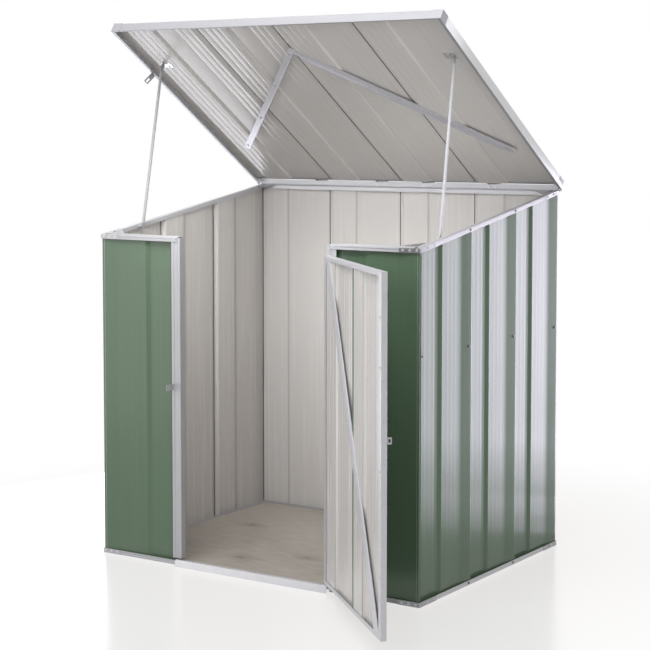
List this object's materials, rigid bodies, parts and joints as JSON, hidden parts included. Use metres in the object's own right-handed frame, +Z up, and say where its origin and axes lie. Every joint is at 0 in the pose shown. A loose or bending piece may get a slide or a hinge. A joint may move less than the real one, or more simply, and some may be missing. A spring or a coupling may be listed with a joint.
{
  "type": "metal storage shed",
  "caption": "Low hollow storage shed of ribbed painted steel sheets in galvanised rails, with a roof that lifts as a lid on folding props and a hinged front door.",
  "frame": {"origin": "middle of the floor plan, on the ground", "axes": "+X to the right seen from the front, +Y to the back, +Z up"},
  "size_m": [1.6405, 1.6028, 2.0353],
  "materials": {
    "painted_sheet": "satin",
    "galvanised_frame": "satin",
    "hardware": "satin",
    "floor_board": "matt"
  },
  "bodies": {
    "shell": {"floor_sheet": "floor_board", "base_rail_left": "galvanised_frame", "base_rail_right": "galvanised_frame", "base_rail_back": "galvanised_frame", "base_rail_front_left": "galvanised_frame", "base_rail_front_right": "galvanised_frame", "door_threshold": "galvanised_frame", "top_rail_left": "galvanised_frame", "top_rail_right": "galvanised_frame", "top_rail_back": "galvanised_frame", "top_rail_front_left": "galvanised_frame", "top_rail_front_right": "galvanised_frame", "top_corner_brackets": "galvanised_frame", "base_corner_brackets": "galvanised_frame", "left_wall_sheets": "painted_sheet", "right_wall_sheets": "painted_sheet", "back_wall_sheets": "painted_sheet", "front_left_sheet": "painted_sheet", "front_right_sheet": "painted_sheet", "left_jamb": "galvanised_frame", "right_jamb": "galvanised_frame", "wall_lock_lugs": "galvanised_frame", "prop_studs": "hardware", "lid_hinge_wall_leaves": "hardware", "door_hinge_jamb_leaves": "hardware"},
    "lid": {"lid_sheets": "painted_sheet", "lid_left_edge": "galvanised_frame", "lid_right_edge": "galvanised_frame", "lid_front_edge": "galvanised_frame", "lid_back_edge": "galvanised_frame", "lid_brace_left": "galvanised_frame", "lid_brace_right": "galvanised_frame", "lid_prop_brackets": "hardware", "lid_lock_tab": "galvanised_frame", "lid_corner_caps": "galvanised_frame", "lid_hinge_lid_leaves": "hardware"},
    "left_prop": {"left_prop": "galvanised_frame"},
    "right_prop": {"right_prop": "galvanised_frame"},
    "door": {"door_sheets": "painted_sheet", "door_top_rail": "galvanised_frame", "door_bottom_rail": "galvanised_frame", "door_hinge_stile": "galvanised_frame", "door_latch_stile": "galvanised_frame", "door_brace": "galvanised_frame", "door_lock_lug": "galvanised_frame", "door_hinge_door_leaves": "hardware"}
  },
  "joints": [
    {"name": "lid_hinge", "type": "hinge", "parent": "shell", "child": "lid", "pos_m": [0, 0.545, 1.412], "axis": [-1, 0, 0], "range_deg": [-41.27, 0]},
    {"name": "left_prop_fold", "type": "hinge", "parent": "lid", "child": "left_prop", "pos_m": [-0.656, -0.21972, 1.86998], "axis": [-1, 0, 0], "range_deg": [-68, 0]},
    {"name": "right_prop_fold", "type": "hinge", "parent": "lid", "child": "right_prop", "pos_m": [0.656, -0.21972, 1.86998], "axis": [-1, 0, 0], "range_deg": [-68, 0]},
    {"name": "door_hinge", "type": "hinge", "parent": "shell", "child": "door", "pos_m": [0.3575, -0.56, 0.6], "axis": [0, 0, 1], "range_deg": [-137.9, 32]}
  ],
  "couplings": [
    {"joint": "left_prop_fold", "follows": "lid_hinge", "ratio": 1.5921},
    {"joint": "right_prop_fold", "follows": "lid_hinge", "ratio": 1.5921}
  ]
}
